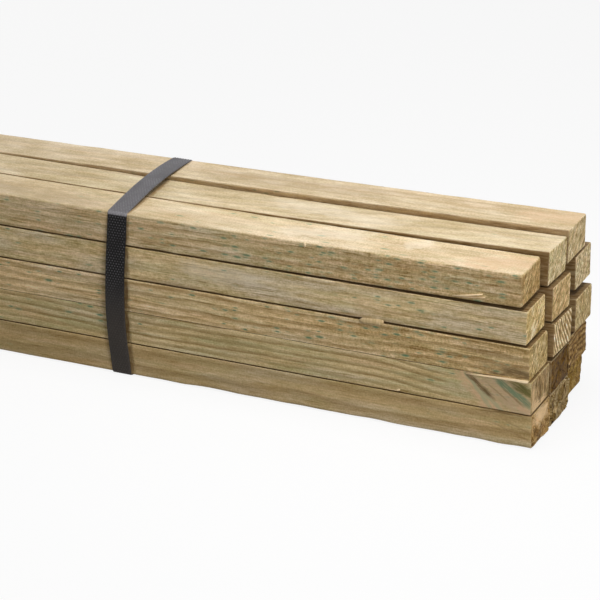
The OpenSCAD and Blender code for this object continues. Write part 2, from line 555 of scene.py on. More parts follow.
def stroke_mask(grain, stroke, end_mask):
    """Where one streak lies: soft and ragged at its edge, streaky along its length."""
    reach = ((stroke.finish[0] - stroke.start[0]) / 2, (stroke.finish[1] - stroke.start[1]) / 2)
    half = math.hypot(*reach)
    turn = (reach[0] / half, reach[1] / half)
    middle = (stroke.start[0] + reach[0], stroke.start[1] + reach[1])
    first = (grain.rear if stroke.face == "end" else grain.along) - middle[0]
    second = (grain.rear if stroke.face == "top" else grain.up) - middle[1]
    ragged = grain.noise(*STROKE_RIMS, stroke.width, 3.0) * (1.6 * stroke.width)
    lengthwise = first * turn[0] + second * turn[1]
    sideways = second * turn[0] - first * turn[1]
    streak = grain.streaks(lengthwise, sideways, STROKE_STREAKS, stroke.width)
    mask = (1 - abs(lengthwise + 2 * ragged).smooth(0.6 * half, 1.15 * half)) * (
        1 - abs(sideways + ragged).smooth(0.3 * stroke.width, 1.2 * stroke.width)
    )
    mask = mask * (0.35 + 0.65 * streak.smooth(0.25, 0.6)) * stroke.strength
    if stroke.face == "front":
        return mask * (1 - grain.rear.smooth(FRONT_FACE + 3, FRONT_FACE + 5)) * (1 - end_mask)
    if stroke.face == "top":
        return mask * grain.up.smooth(TOP_FACE - 1.3, TOP_FACE - 0.3) * (1 - end_mask)
    return mask * end_mask * grain.along.smooth(0, 1)


def inner_faces(grain, node):
    """The faces of a stud that lie against its neighbours, where a painted shade darkens the wood."""
    timber = TIMBERS[node]
    _, row, column = node.split("_")
    top, low = TOP_FACE - timber.planed[1], timber.planed[2] - TOP_FACE
    faces = 0.0
    if row != ROWS[0]:
        faces = faces + grain.up.smooth(top - LEVEL_SKIN[1], top - LEVEL_SKIN[0])
    if row != ROWS[-1]:
        faces = faces + (1 - grain.up.smooth(low + LEVEL_SKIN[0], low + LEVEL_SKIN[1]))
    if column != COLUMNS[0]:
        front = FRONT_FACE + timber.planed[3]
        faces = faces + (1 - grain.rear.smooth(front + FRONT_SKIN[0], front + FRONT_SKIN[1]))
    return grain.sheet.math("MINIMUM", faces, 1.0)


class Pine:
    """What the parts of one stud's finish share: its masks, its rings and its finest noises."""

    def __init__(self, grain, timber):
        self.sawn = grain.mask("sawn")
        self.torn = grain.mask("torn")
        self.late = growth_rings(grain, timber)
        self.fibre = grain.noise(*FIBRES)
        self.pores = grain.noise(*PORES)
        self.speck = grain.noise(*SPECKS)
        self.rough = grain.along.smooth(timber.rough_from - ROUGH_FADE, timber.rough_from + ROUGH_FADE)
        self.fuzz = grain.noise(*FUZZ) * (0.6 + 0.2 * self.rough)


def planed_wood(grain, timber, look, pine, open_top):
    """Colour of the long faces: stains, bleached patches, rings, fibres and flecks."""
    on_top = grain.up.smooth(TOP_FACE - 1.1, TOP_FACE - 0.2) * (1 - pine.sawn) * float(open_top)
    fine = timber.fine * (1 - 0.55 * on_top)
    wood = grain.sheet.make("ShaderNodeRGB")
    wood.socket.default_value = rgba(look.early_wood, timber.tint)
    stain = grain.noise(*STAINS).smooth(-0.14, 0.16)
    wood = wood.mixed(rgba(look.stain), stain * (look.stain_strength * timber.green))
    warmth = grain.noise(*WARMTH).smooth(-0.04, 0.22)
    wood = wood.mixed(rgba(look.warm_stain), warmth * look.warm_strength)
    bleached = grain.noise(*BLEACHING).smooth(-0.06, 0.2)
    wood = wood.mixed(rgba(look.bleached), bleached * timber.bleach)
    ring_share = timber.contrast * (1 - pine.sawn) + timber.end_rings * pine.sawn
    wood = wood.mixed(rgba(look.late_wood, timber.tint), pine.late * ring_share)
    wood = wood.mixed(rgba(look.bleached), on_top * look.sun)

    mottle = grain.noise(*MOTTLE) * timber.mottle * (0.4 + 0.6 * pine.rough)
    chatter = grain.noise(*CHATTER) * (0.15 + 0.6 * pine.rough)
    detail = 0.75 * pine.fibre + 0.8 * pine.pores + 0.5 * grain.noise(*PATCHES)
    detail = detail + 1.2 * mottle + 0.5 * chatter
    broad = 0.35 * grain.noise(*CLOUDS) + 0.85 * pine.fuzz + on_top * 0.75 * grain.noise(*BLOTS)
    wood = wood.shaded(1 - (1 - on_top) * 0.15 * pine.rough + fine * detail + broad)
    vessels = grain.noise(*VESSELS).smooth(0.10, 0.24) * (1 - pine.sawn)
    wood = wood.shaded(1 - vessels * fine * 0.36)
    fleck, halo = treatment_flecks(grain, timber)
    planed = (1 - pine.sawn) * (1 - pine.torn.smooth(0.0, 0.1))
    wood = wood.mixed(rgba(look.halo), halo * planed * 0.35)
    return wood.mixed(rgba(look.fleck), fleck * planed * 0.95)


def sawn_end(grain, timber, look, pine, wood):
    """Colour of the cut ends: the same wood, shaded, with saw lines, specks and blotches."""
    lean = math.radians(timber.end_lean)
    lengthwise = grain.rear * math.cos(lean) + grain.up * math.sin(lean)
    sideways = grain.up * math.cos(lean) - grain.rear * math.sin(lean)
    lines = grain.streaks(lengthwise, sideways, SAW_LINES, grain.seed) - 0.5
    uneven = timber.end_rough * (1.5 * pine.speck + 1.2 * grain.noise(*BLOTCHES))
    cut = wood.multiplied(rgba(look.end_shade, timber.end_tint))
    return cut.shaded(1 + uneven + timber.end_lines * 3.4 * lines)


def new_finish(name):
    """A material and its node tree."""
    material = bpy.data.materials.new(name)
    material.use_nodes = True
    return material, material.node_tree


def feed_shader(tree, colour, roughness, bump, gloss):
    """Feeds the fields of a finish into its shader."""
    shader = tree.nodes["Principled BSDF"]
    tree.links.new(colour.socket, shader.inputs["Base Color"])
    tree.links.new(roughness.socket, shader.inputs["Roughness"])
    tree.links.new(bump.socket, shader.inputs["Normal"])
    shader.inputs["Specular IOR Level"].default_value = gloss


def pine_finish(node, look):
    """Treated pine, cut as this stud was: rings, fibres, green stain, flecks and sawn ends."""
    timber = TIMBERS[node]
    material, tree = new_finish(f"pine_{node}")
    grain = Grain(tree, SEED_STEP * STUDS.index(node) + FIRST_SEED)
    pine = Pine(grain, timber)
    wood = planed_wood(grain, timber, look, pine, node.startswith("stud_top"))
    wood = wood.mixed(sawn_end(grain, timber, look, pine, wood), pine.sawn)
    # Painted shade on the faces that lie against neighbouring studs, deeper in the fibres and pores
    inner_painted_shade = 1.2 * pine.fibre + 0.9 * pine.pores + look.inner_painted_shade_share * timber.inner_painted_shade
    inner_painted_shade = grain.sheet.math("MINIMUM", inner_painted_shade, 1.0)
    wood = wood.mixed(rgba(look.inner_painted_shade), inner_faces(grain, node) * (1 - pine.sawn) * inner_painted_shade)
    # Streaks of colour: stains, and painted shadows and highlights
    for stroke in STROKES.get(node, ()):
        wood = wood.mixed(rgba(stroke.colour), stroke_mask(grain, stroke, pine.sawn))
    wood = wood.mixed(rgba(look.fresh_tear), pine.torn * (0.85 + 0.6 * pine.pores))
    roughness = 0.60 - 0.10 * pine.late + 0.25 * pine.fibre + 0.15 * pine.sawn
    relief = 0.7 * pine.fibre + 0.7 * pine.pores - 0.35 * pine.late + 0.5 * pine.fuzz
    relief = relief + pine.sawn * timber.end_rough * pine.speck
    sockets = {"Height": relief, "Distance": WOOD_RELIEF * MM, "Strength": 0.7}
    feed_shader(tree, wood, roughness, grain.sheet.make("ShaderNodeBump", None, sockets), look.gloss)
    return material


# Levels above the floor, in millimetres, between which grime ends, low dust ends and worn crests begin
GRIME_LEVELS, DUST_LEVELS, WEAR_LEVELS = (30, 90), (60, 95), (50, 95)
# Scales of the strap's bloom and of its scuffs, per metre
BLOOM_SCALE, SCUFF_SCALE = 60.0, 700.0


def strap_finish(look):
    """Black strapping: worn crests, grime low down, dust and a painted sheen on the top run, and a painted
    highlight on its bend.
    """
    material, tree = new_finish("embossed_strap")
    sheet = Field(tree)
    place = sheet.make("ShaderNodeTexCoord", None, None, "Object")
    level = sheet.make("ShaderNodeSeparateXYZ", None, {0: place}).output("Z") / MM
    crest = sheet.make("ShaderNodeAttribute", {"attribute_name": "crest"}, output="Fac")
    bloom = sheet.make("ShaderNodeTexNoise", None, {"Vector": place, "Scale": BLOOM_SCALE, "Detail": 3.0})
    scuff = sheet.make("ShaderNodeTexNoise", None, {"Vector": place, "Scale": SCUFF_SCALE, "Detail": 2.0})
    plastic = sheet.make("ShaderNodeRGB")
    plastic.socket.default_value = rgba(look.plastic)
    # A painted highlight along the bend over the upper front edge
    bend = level.smooth(STRAP_TOP - 3.6, STRAP_TOP - 2.4) * (
        1 - level.smooth(STRAP_TOP - 1.2, STRAP_TOP + 0.2)
    )
    # The top run is paler: partly dust, partly painted sheen
    top_run = level.smooth(STRAP_TOP - 3.4, STRAP_TOP - 1.4)
    dust_wear_and_sheen = top_run * 0.52 + bend * 0.6 + (1 - level.smooth(*DUST_LEVELS)) * 0.06
    worn = 0.08 + 0.24 * bloom.smooth(0.40, 0.58)
    dust_wear_and_sheen = dust_wear_and_sheen * (0.7 + 0.6 * bloom) + crest * (0.03 + worn * level.smooth(*WEAR_LEVELS))
    grimy = (1 - level.smooth(*GRIME_LEVELS)) * (0.5 + 0.5 * bloom)
    plastic = plastic.mixed(rgba(look.grime), grimy)
    plastic = plastic.mixed(rgba(look.dust_and_sheen), dust_wear_and_sheen * look.dust_and_sheen_share)
    plastic = plastic.tinted(0.7 + 0.6 * scuff)
    roughness = 0.40 + 0.14 * bloom + 0.10 * scuff
    sockets = {"Height": scuff, "Distance": STRAP_RELIEF * MM, "Strength": 0.4}
    feed_shader(tree, plastic, roughness, sheet.make("ShaderNodeBump", None, sockets), look.gloss)
    return material


# Whites of the floor: one that shows the lamps' shadow, and one that is even
MATTE_WHITE = (0.95, 0.95, 0.95)
PAPER_WHITE = (1.0, 1.0, 1.0)


def floor_finish(look):
    """A pale floor: white to the camera with part of the shadow kept, and calmer in bounced light."""
    material, tree = new_finish("pale_floor")
    tree.nodes.clear()
    sheet = Field(tree)
    bounced = sheet.make("ShaderNodeBsdfDiffuse", None, {"Color": rgba(look.floor)})
    matte = sheet.make("ShaderNodeBsdfDiffuse", None, {"Color": rgba(MATTE_WHITE)})
    paper = sheet.make("ShaderNodeEmission", None, {"Color": rgba(PAPER_WHITE), "Strength": 1.0})
    rays = sheet.make("ShaderNodeLightPath")
    shadowed = sheet.make("ShaderNodeMixShader", None, {0: look.floor_shadow, 1: paper, 2: matte})
    seen = sheet.make("ShaderNodeMixShader", None, {0: rays.output("Is Camera Ray"), 1: bounced, 2: shadowed})
    mirrored = rays.math("MAXIMUM", rays.output("Is Glossy Ray"), rays.output("Is Transmission Ray"))
    mixed = sheet.make("ShaderNodeMixShader", None, {0: mirrored, 1: seen, 2: paper})
    end = tree.nodes.new("ShaderNodeOutputMaterial")
    tree.links.new(mixed.socket, end.inputs["Surface"])
    return material


class Parcel:
    """Vertices, faces and point values of a mesh that is put together from several closed shells."""

    def __init__(self):
        self.points, self.faces, self.values = [], [], {}
        self.count = 0

    def add(self, points, faces, **values):
        """Adds one shell and the values of its points."""
        points = np.asarray(points, float).reshape(-1, 3)
        self.points.append(points)
        self.faces += [[self.count + i for i in face] for face in faces]
        for name, value in values.items():
            self.values.setdefault(name, []).append(np.asarray(value, float))
        self.count += len(points)

    def build(self, name):
        """Makes the object, shaded smooth."""
        mesh = bpy.data.meshes.new(name)
        mesh.from_pydata(np.concatenate(self.points).tolist(), [], self.faces)
        for key, parts in self.values.items():
            value = np.concatenate(parts)
            kind = "FLOAT_VECTOR" if value.ndim == 2 else "FLOAT"
            attribute = mesh.attributes.new(key, kind, "POINT")
            attribute.data.foreach_set("vector" if value.ndim == 2 else "value", value.ravel())
        mesh.polygons.foreach_set("use_smooth", [True] * len(mesh.polygons))
        mesh.update()
        piece = bpy.data.objects.new(name, mesh)
        bpy.context.scene.collection.objects.link(piece)
        return piece


# Points of a solid this near along it, in metres, belong to one station
SAME_STATION = 2e-5


def centre_line(node):
    """Stations of a stud's CAD solid, each its place and the section's middle, and the section's size."""
    points = np.array([v.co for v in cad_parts[node].data.vertices])
    line = []
    for place in np.unique(points[:, 0].round(5)):
        section = points[np.abs(points[:, 0] - place) < SAME_STATION]
        line.append((place, *((section.min(0) + section.max(0)) / 2)[1:]))
    return np.array(line), (section.max(0) - section.min(0))[1:]


def loosened(line, start):
    """The middle line of a stud that rises straight from a place to its right end."""
    held = [np.interp(start, line[:, 0], line[:, k]) for k in (1, 2)]
    line = np.vstack([line[line[:, 0] < start], [(start, *held)], line[line[:, 0] > start]])
    share = np.clip((line[:, 0] - start) / (line[-1, 0] - start), 0, None)
    line[:, 2] = np.where(share > 0, held[1] + share * (line[-1, 2] - held[1]), line[:, 2])
    return line


def waves(along, seed, length, count=4):
    """A slow wobble between about -1 and 1, the same each run."""
    draw = np.random.default_rng(seed)
    total = np.zeros_like(along)
    for k in range(count):
        total += np.sin(2 * math.pi * along * (1 + 0.7 * k) / length + draw.uniform(0, 2 * math.pi))
    return total / math.sqrt(count)


# Cells of a section: on each eased edge, across the wide sides and across the tall ones
ARC_STEPS = 4
WIDE_CELLS, TALL_CELLS = 8, 6
# Narrow strip beside each edge that keeps a side's shading flat, as a share of the side
FLAT_STRIP = 0.015
# Largest share of half a side that an edge may take, and the smallest edge in millimetres
LARGEST_EDGE, SMALLEST_EDGE = 0.45, 0.3
# Steps round the rim of an end, and the shrinking rings that close it
RIM_STEPS = 4
CAP_SHARES = (0.98, 0.85, 0.62, 0.36, 0.12)
# Lengths of the waves, in metres, by which the long edges are knocked, and how much
KNOCK_SHORT, KNOCK_LONG, KNOCK_SHARE = 0.11, 0.47, 0.3
# How late a stud rolls past the strap
ROLL_POWER = 1.6
# How far out of square the ends are sawn
OUT_OF_SQUARE = 0.012
# Seed of the first stud's random draws
FIRST_DRAW = 100


def section_ring(width, height, radii, inset=0.0):
    """Points of the rounded section at each station, going round from the lower rear edge."""
    stations = radii.shape[0]
    half = np.array([width / 2, height / 2]) - np.reshape(inset, (-1, 1))
    half = np.broadcast_to(half, (stations, 2))
    corners = []
    for corner, (side, level) in enumerate(((1, -1), (1, 1), (-1, 1), (-1, -1))):
        radius = np.minimum(radii[:, corner], LARGEST_EDGE * half.min(1))[:, None]
        turn = math.pi / 2 * (corner - 1 + np.arange(ARC_STEPS + 1) / ARC_STEPS)
        rear = side * (half[:, :1] - radius) + radius * np.cos(turn)
        up = level * (half[:, 1:] - radius) + radius * np.sin(turn)
        corners.append(np.stack([rear, up], -1))
    ring = []
    for corner in range(4):
        ring.append(corners[corner])
        start, finish = corners[corner][:, -1:], corners[(corner + 1) % 4][:, :1]
        cells = TALL_CELLS if corner % 2 == 0 else WIDE_CELLS
        share = np.concatenate([[FLAT_STRIP], np.arange(1, cells) / cells, [1 - FLAT_STRIP]])
        ring.append(start + (finish - start) * share[None, :, None])
    return np.concatenate(ring, 1)


def stud_stations(low, high, ease, step):
    """Places along a stud, how far its round rims are drawn in there, and how much of each is end."""
    quarter = np.linspace(0, math.pi / 2, RIM_STEPS + 1)[1:]
    body = np.linspace(low + ease, high - ease, int((high - low) / step))
    left = (low + ease - ease * np.sin(quarter))[::-1]
    right = high - ease + ease * np.sin(quarter)
    tuck = ease * (1 - np.cos(quarter))
    inset = np.concatenate([tuck[::-1], np.zeros(len(body)), tuck])
    fraction = np.linspace(0, 1, RIM_STEPS + 1)[1:] ** 2
    sawn = np.concatenate([fraction[::-1], np.zeros(len(body)), fraction])
    return np.concatenate([left, body, right]), inset, sawn


def edge_radii(node, along, seed, wear):
    """Radius of each long edge at every station: knocked all along, and broken at its chips."""
    radii = np.zeros((len(along), 4))
    for corner in range(4):
        draw = 10 * seed + corner
        knocks = waves(along, draw, KNOCK_SHORT) * waves(along, draw + 5, KNOCK_LONG)
        radii[:, corner] = TIMBERS[node].edges[corner] * (1 + wear * KNOCK_SHARE * knocks) * MM
    for corner, place, length, depth in CHIPS.get(node, ()):
        near = np.clip(1 - ((along / MM - place) / (length / 2)) ** 2, 0, None)
        radii[:, corner] += depth * MM * np.sqrt(near)
    return np.clip(radii, SMALLEST_EDGE * MM, None)


def capped(local, sawn, middle):
    """Adds the shrinking rings that close both ends."""
    count, around = len(CAP_SHARES), local.shape[1]
    shares = np.array(CAP_SHARES)[:, None, None]
    caps = []
    for station in (0, -1):
        cap = np.repeat(local[station][None], count, 0)
        cap[..., 1:] *= shares
        caps.append(cap)
    local = np.concatenate([caps[0][::-1], local, caps[1]])
    sawn = np.concatenate([np.ones((count, around)), sawn, np.ones((count, around))])
    middle = np.concatenate([np.repeat(middle[:1], count, 0), middle, np.repeat(middle[-1:], count, 0)])
    return local, sawn, middle


def roll(points, local, node, width, high):
    """Turns the section of a stud that has rolled, more and more past the strap."""
    front_rise, rear_rise = np.array(ROLLS.get(node, (0.0, 0.0))) * MM
    turn = (front_rise - rear_rise) / width
    start = STRAP_END * MM
    past = np.clip((local[..., 0] - start) / (high - start), 0, None) ** ROLL_POWER
    points[..., 1] += past * turn * local[..., 2]
    points[..., 2] += past * (rear_rise + turn * (width / 2 - local[..., 1]))


def roughen_ends(points, local, sawn, seed, ragged):
    """Lets torn fibres stand out of the ends, and saws them a little out of square."""
    draw = np.random.default_rng(seed).normal(size=sawn.shape)
    for shift in (1, 2):
        draw = (draw + np.roll(draw, shift, 1)) / math.sqrt(2)
    points[..., 0] += ragged * MM * np.clip(draw, -2, 2) * sawn * np.sign(local[..., 0])
    points[..., 0] += OUT_OF_SQUARE * math.sin(seed) * local[..., 2] * sawn


def stud_shell(parcel, node, step, wear):
    """One stud: a sweep along the CAD solid's middle line, with eased and knocked edges and sawn ends."""
    timber = TIMBERS[node]
    seed = FIRST_DRAW + STUDS.index(node)
    line, (width, height) = centre_line(node)
    low, high = line[0, 0], line[-1, 0]
    if node in LOOSE_FROM:
        line = loosened(line, LOOSE_FROM[node] * MM)
    along, inset, sawn = stud_stations(low, high, timber.end_round * MM, step)
    rear_cut, top_cut, low_cut, front_cut = np.array(timber.planed) * MM
    sides = (width - rear_cut - front_cut, height - top_cut - low_cut)
    ring = section_ring(*sides, edge_radii(node, along, seed, wear), inset)
    ring = ring + np.array([front_cut - rear_cut, low_cut - top_cut]) / 2
    around = ring.shape[1]
    middle = np.stack([np.interp(along, line[:, 0], line[:, k]) for k in (1, 2)], -1)
    local = np.concatenate([np.broadcast_to(along[:, None, None], (len(along), around, 1)), ring], 2)
    local, sawn, middle = capped(local, np.repeat(sawn[:, None], around, 1), middle)
    points = local.copy()
    roll(points, local, node, width, high)
    points[..., 1:] += middle[:, None, :]
    roughen_ends(points, local, sawn, seed, timber.ragged)
    index = np.arange(sawn.size).reshape(sawn.shape)
    ahead = np.roll(index, -1, 1)
    quads = np.stack([index[:-1], ahead[:-1], ahead[1:], index[1:]], -1).reshape(-1, 4)
    faces = quads.tolist() + [index[0][::-1].tolist(), index[-1].tolist()]
    parcel.add(points, faces, grain=local.reshape(-1, 3), sawn=sawn.ravel(), torn=np.zeros(sawn.size))
    return line, width


# A sliver's section: rise of each point as a share of its height
SLIVER_RISES = (0.5, 0.5, -0.25, -0.5, -0.5)
# How far its upper lip and its lower one stand off, as a share of the most
SLIVER_LIP, SLIVER_HEEL = 0.15, 0.7
# How far a sliver is rooted in the wood, and how far below the top its grain ends, in millimetres
SLIVER_ROOT, SLIVER_CLEAR = 0.8, 1.0


def sliver_shell(parcel, sliver, line, width):
    """A torn strip on the front face, rooted a little way into the wood."""
    root = SLIVER_ROOT * MM
    points, grain = [], []
    for along, up, height, stand in sliver.points:
        x = along * MM
        middle = [np.interp(x, line[:, 0], line[:, k]) for k in (1, 2)]
        outs = (-root, SLIVER_LIP * stand * MM, stand * MM, SLIVER_HEEL * stand * MM, -root)
        for out, rise in zip(outs, SLIVER_RISES):
            rear = -width / 2 - out
            level = (up + rise * height) * MM
            points.append((x, middle[0] + rear, middle[1] + level))
            grain.append((x, rear, min(level, (TOP_FACE - SLIVER_CLEAR) * MM)))
    around, count = len(SLIVER_RISES), len(sliver.points)
    faces = [list(range(around))[::-1], [around * (count - 1) + k for k in range(around)]]
    for i in range(count - 1):
        for k in range(around):
            here, following = around * i + k, around * i + (k + 1) % around
            faces.append([here, following, following + around, here + around])
    sawn, torn = np.zeros(len(points)), np.full(len(points), sliver.fresh)
    parcel.add(points, faces, grain=grain, sawn=sawn, torn=torn)


def settle(piece, node):
    """Puts a finished piece in place of its CAD node."""
    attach(piece, "root")
    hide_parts(node)


class TimberLook(bpy.types.PropertyGroup):
    """Mesh, colours and shares of the studs"""

    step: bpy.props.FloatProperty(
        name="Station step", description="Distance between the rings of a stud's mesh",
        default=5 * MM, unit="LENGTH", precision=4,
    )
    wear: bpy.props.FloatProperty(
        name="Edge wear", description="How much the eased long edges vary", default=1.0,
    )
    early_wood: bpy.props.FloatVectorProperty(
        name="Early wood", description="Pale wood between the rings",
        default=(0.69, 0.52, 0.295), subtype="COLOR",
    )
    late_wood: bpy.props.FloatVectorProperty(
        name="Late wood", description="Dark line of each ring", default=(0.27, 0.165, 0.055), subtype="COLOR",
    )
    stain: bpy.props.FloatVectorProperty(
        name="Stain", description="Green cast of the preservative",
        default=(0.53, 0.48, 0.235), subtype="COLOR",
    )
    stain_strength: bpy.props.FloatProperty(
        name="Stain strength", description="Share of the green cast", default=1.0, subtype="FACTOR",
    )
    warm_stain: bpy.props.FloatVectorProperty(
        name="Warm stain", description="Resin and tannin patches",
        default=(0.70, 0.46, 0.25), subtype="COLOR",
    )
    warm_strength: bpy.props.FloatProperty(
        name="Warm strength", description="Share of the warm patches", default=0.4, subtype="FACTOR",
    )
    bleached: bpy.props.FloatVectorProperty(
        name="Bleached", description="Patches paled by the sun", default=(0.78, 0.65, 0.45), subtype="COLOR",
    )
    sun: bpy.props.FloatProperty(
        name="Sun", description="How far the open top faces are bleached", default=0.4, subtype="FACTOR",
    )
    fleck: bpy.props.FloatVectorProperty(
        name="Flecks", description="Short dashes of preservative",
        default=(0.065, 0.20, 0.10), subtype="COLOR",
    )
    halo: bpy.props.FloatVectorProperty(
        name="Halo", description="Pale bloom round a fleck", default=(0.50, 0.58, 0.38), subtype="COLOR",
    )
    fresh_tear: bpy.props.FloatVectorProperty(
        name="Fresh tear", description="Wood that was torn open", default=(0.92, 0.72, 0.46), subtype="COLOR",
    )
    end_shade: bpy.props.FloatVectorProperty(
        name="End shade", description="Darkening of the sawn ends", default=(1.0, 1.0, 0.96), subtype="COLOR",
    )
    # Colour of the painted shade on the faces inside the stack
    inner_painted_shade: bpy.props.FloatVectorProperty(
        name="Inner painted shade", description="Wood on the faces inside the stack",
        default=(0.17, 0.095, 0.032), subtype="COLOR",
    )
    # How dark the painted shade on the inner faces is
    inner_painted_shade_share: bpy.props.FloatProperty(
        name="Damp share", description="How dark the inner faces are", default=0.85, subtype="FACTOR",
    )
    gloss: bpy.props.FloatProperty(
        name="Gloss", description="Specular level of the planed wood", default=0.22, subtype="FACTOR",
    )


class StrapLook(bpy.types.PropertyGroup):
    """Sizes and colours of the straps"""

    pitch: bpy.props.FloatProperty(
        name="Emboss pitch", description="Distance between the raised diamonds",
        default=2.1 * MM, unit="LENGTH", precision=5,
    )
    height: bpy.props.FloatProperty(
        name="Emboss height", description="How far a diamond stands up", default=0.22 * MM,
        unit="LENGTH", precision=5,
    )
    bend: bpy.props.FloatProperty(
        name="Bend radius", description="Outer radius where the strap turns an edge",
        default=2.9 * MM, unit="LENGTH", precision=4,
    )
    border: bpy.props.FloatProperty(
        name="Plain border", description="Width left smooth along each edge", default=1.0 * MM,
        unit="LENGTH", precision=4,
    )
    width: bpy.props.FloatProperty(
        name="Spread width", description="Width of the strap where it lies flattened", default=16.5 * MM,
        unit="LENGTH", precision=4,
    )
    diamond: bpy.props.FloatProperty(
        name="Diamond size", description="Half the width of a diamond, as a share of the pitch",
        default=0.34, subtype="FACTOR",
    )
    plastic: bpy.props.FloatVectorProperty(
        name="Plastic", description="Colour of the strap", default=(0.009, 0.0085, 0.0085), subtype="COLOR",
    )
    # Colour of the dust and the worn crests, and of the painted sheen and highlight on the top run and its
    # bend
    dust_and_sheen: bpy.props.FloatVectorProperty(
        name="Dust and sheen", description="Pale bloom on the strap", default=(0.29, 0.28, 0.295), subtype="COLOR",
    )
    grime: bpy.props.FloatVectorProperty(
        name="Grime", description="Dull film low on the strap",
        default=(0.062, 0.050, 0.039), subtype="COLOR",
    )
    # Share of the dust, wear, painted sheen and painted highlight that shows
    dust_and_sheen_share: bpy.props.FloatProperty(
        name="Dust share", description="How much bloom shows", default=0.8, subtype="FACTOR",
    )
    gloss: bpy.props.FloatProperty(
        name="Gloss", description="Specular level of the plastic", default=0.13, subtype="FACTOR",
    )


class StageLook(bpy.types.PropertyGroup):
    """Camera, floor and lamps"""

    aim: bpy.props.FloatVectorProperty(
        name="Aim", description="Point at the middle of the picture",
        default=(0.7173, -0.0603, 0.0899), subtype="XYZ", unit="LENGTH",
    )
    distance: bpy.props.FloatProperty(
        name="Camera distance", description="From the aim to the lens", default=2.0713, unit="LENGTH",
    )
    azimuth: bpy.props.FloatProperty(
        name="Azimuth", description="Camera's turn round the bundle",
        default=math.radians(24.42), subtype="ANGLE",
    )
    elevation: bpy.props.FloatProperty(
        name="Elevation", description="Camera's height angle", default=math.radians(23.16), subtype="ANGLE",
    )
    roll: bpy.props.FloatProperty(
        name="Roll", description="Camera's lean", default=math.radians(0.40), subtype="ANGLE",
    )
    lens: bpy.props.FloatProperty(name="Lens", description="Focal length in millimetres", default=164.64)
    floor: bpy.props.FloatVectorProperty(
        name="Floor", description="Colour of the floor in bounced light",
        default=(0.22, 0.22, 0.22), subtype="COLOR",
    )
    floor_shadow: bpy.props.FloatProperty(
        name="Floor shadow", description="Share of the shadow that shows", default=0.12, subtype="FACTOR",
    )
    floor_size: bpy.props.FloatProperty(
        name="Floor size", description="Side of the floor", default=40.0, unit="LENGTH",
    )
    sky: bpy.props.FloatProperty(name="Sky", description="Even light from all round", default=0.22)
    key_power: bpy.props.FloatProperty(
        name="Key power", description="Lamp above the right end", default=4.7, unit="POWER",
    )
    far_power: bpy.props.FloatProperty(
        name="Far power", description="Lamp above the left half", default=2.8, unit="POWER",
    )
    side_power: bpy.props.FloatProperty(
        name="Side power", description="Lamp past the right end", default=11.5, unit="POWER",
    )
    back_power: bpy.props.FloatProperty(
        name="Back power", description="Lamp behind the left end", default=16.0, unit="POWER",
    )


class TIMBER_OT_studs(bpy.types.Operator):
    """Dress every stud: eased edges, sawn ends, torn slivers and its own cut of pine"""

    bl_idname = "timber.studs"
    bl_label = "Studs"

    def execute(self, context):
        look = context.scene.timber_look
        for node in STUDS:
            parcel = Parcel()
            line, width = stud_shell(parcel, node, look.step, look.wear)
            for sliver in SLIVERS.get(node, ()):
                sliver_shell(parcel, sliver, line, width)
            piece = parcel.build(node.replace("stud", "sawn_stud"))
            piece.data.materials.append(pine_finish(node, look))
            settle(piece, node)
        return {"FINISHED"}


@dataclass
class Lie:
    """How one strap lies round the bundle. Sides count from 0 at the front: front, top, rear, underside."""

    # How far the upper rear corner is pushed up by the loose stud there
    rise: float
    # How far each side bows away from the wood
    bows: tuple
    # How far the strap's middle strays along the studs: (side and share of it, distance)
    stray: tuple


LIES = {
    "strap_right": Lie(
        2.6, (3.2, 3.4, 1.5, 0.0),
        (
            (0, 1.4), (0.15, -0.6), (0.35, -1.9), (0.6, -1.2), (1, 1.8),
            (1.4, 0.2), (2, -2.0), (3, 0.4), (4, 1.4),
        ),
    ),
    "strap_left": Lie(
        0.0, (1.6, 2.2, 1.2, 0.0), ((0, -0.8), (0.5, 0.6), (1, 1.0), (2, 1.8), (3, 0.2), (4, -0.8)),
    ),
}


# Stations over which a strap's stray is evened out
STRAY_SPAN = 41
# The welded lap: the middle of the rear side, counted in sides, and its length in millimetres
LAP_MIDDLE, LAP_LENGTH = 2.5, 36.0
# How far the strap's rims are drawn in, as a share of its thickness
RIM_DROP = 0.3
# Slack in telling which diamonds stand clear of the border, and radius of a diamond's tip, in millimetres
BORDER_SLACK, DIAMOND_TIP = 0.01, 0.2


def strap_route(lie, width, height, bend, step):
    """Points round the strap's outer face, outward normals, and the side with the share of it."""
    reach = width / 2 - bend
    tall = height - bend
    centres = np.array([(-reach, bend), (-reach, tall), (reach, tall + lie.rise * MM), (reach, bend)])
    runs = np.roll(centres, -1, 0) - centres
    lengths = np.linalg.norm(runs, axis=1)
    outs = np.stack([-runs[:, 1], runs[:, 0]], 1) / lengths[:, None]
    turns = np.arccos(np.clip((outs * np.roll(outs, -1, 0)).sum(1), -1, 1))
    legs = np.stack([lengths, turns * bend], 1).ravel()
    ends = np.cumsum(legs)
    count = 4 * int(ends[-1] / step / 4)
    travelled = np.arange(count) * ends[-1] / count
    leg = np.searchsorted(ends, travelled, "right")
    share = (travelled - (ends - legs)[leg]) / legs[leg]
    side, arc = leg // 2, leg % 2 == 1
    straight = np.where(arc, 1.0, share)
    angle = np.where(arc, share * turns[side], 0.0)[:, None]
    normals = outs[side] * np.cos(angle)
    normals += np.stack([outs[side][:, 1], -outs[side][:, 0]], 1) * np.sin(angle)
    bow = 4 * MM * np.array(lie.bows)[side] * straight * (1 - straight)
    places = centres[side] + runs[side] * straight[:, None] + normals * (bend + bow)[:, None]
    return places, normals, side + straight


